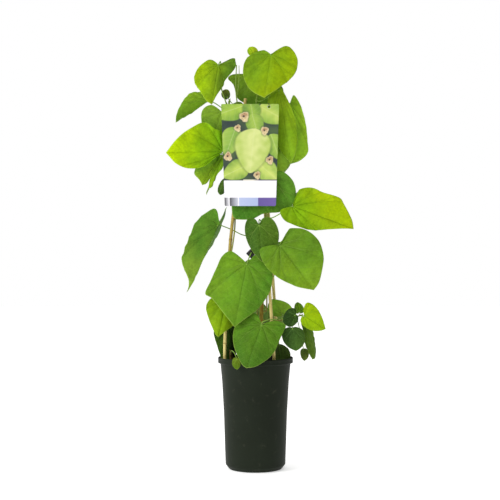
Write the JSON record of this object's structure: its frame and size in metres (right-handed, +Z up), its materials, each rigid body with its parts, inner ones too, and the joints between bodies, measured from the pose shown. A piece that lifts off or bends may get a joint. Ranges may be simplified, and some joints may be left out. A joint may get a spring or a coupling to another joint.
{
  "type": "potted dutchmans pipe",
  "caption": "Young climbing vine with large heart-shaped leaves, trained up slim bamboo canes in a tall dark nursery pot, with a hanging printed card.",
  "frame": {"origin": "middle of the pot's flat underside", "axes": "+Z up along the pot's axis, -Y towards the front of the plant, +X to the right seen from the front"},
  "size_m": [0.3659, 0.1685, 0.8425],
  "materials": {
    "pot_plastic": "satin",
    "peat": "rough and crumbly",
    "bamboo": "satin",
    "bark": "rough",
    "green_stem": "satin",
    "clip_plastic": "satin",
    "printed_card": "printed, satin",
    "tie_wire": "satin",
    "leaf_bright": "soft satin leaf, sunlit yellow-green",
    "leaf_mid": "soft satin leaf",
    "leaf_deep": "soft satin leaf",
    "leaf_shade": "soft satin leaf"
  },
  "bodies": {
    "root": {"pot": "pot_plastic", "soil": "peat", "cane_left": "bamboo", "cane_middle": "bamboo", "cane_back": "bamboo", "old_wood": "bark", "pruned_stub": "bark", "stem_left": "green_stem", "stem_middle": "green_stem", "stem_back": "green_stem", "side_shoot": "green_stem", "stalk_clip": "clip_plastic", "label_card": "printed_card", "label_tie": "tie_wire", "leaf_crown_right": "leaf_bright", "leaf_crown_bud": "leaf_bright", "leaf_crown_left": "leaf_bright", "leaf_upper_left": "leaf_mid", "leaf_behind_card_left": "leaf_deep", "leaf_wide_left": "leaf_bright", "leaf_under_wide_left": "leaf_deep", "leaf_edge_on_left": "leaf_mid", "leaf_small_left": "leaf_deep", "leaf_dark_crown": "leaf_deep", "leaf_curled_bud": "leaf_shade", "leaf_long_right": "leaf_mid", "leaf_outer_right": "leaf_mid", "leaf_behind_card_right": "leaf_deep", "leaf_under_card": "leaf_deep", "leaf_wide_right": "leaf_bright", "leaf_small_heart": "leaf_deep", "leaf_big_heart": "leaf_deep", "leaf_centre": "leaf_deep", "leaf_lower_left": "leaf_bright", "leaf_over_rim": "leaf_deep", "leaf_rim_bud": "leaf_mid", "leaf_mouth_left": "leaf_shade", "leaf_mouth_right": "leaf_shade", "leaf_behind_cane": "leaf_deep", "leaf_crumpled": "leaf_shade", "leaf_ruffled": "leaf_shade", "leaf_bright_side": "leaf_bright", "leaf_round_low": "leaf_shade", "leaf_narrow_hanging": "leaf_shade", "leaf_small_hanging": "leaf_shade", "leaf_hanging_left": "leaf_mid", "leaf_back_top": "leaf_mid", "leaf_back_left": "leaf_deep", "leaf_back_right": "leaf_mid", "leaf_back_middle": "leaf_deep", "leaf_back_far_right": "leaf_mid", "leaf_back_heart": "leaf_deep", "leaf_back_centre": "leaf_mid", "leaf_back_low_left": "leaf_shade", "leaf_back_low_right": "leaf_deep"}
  },
  "joints": []
}
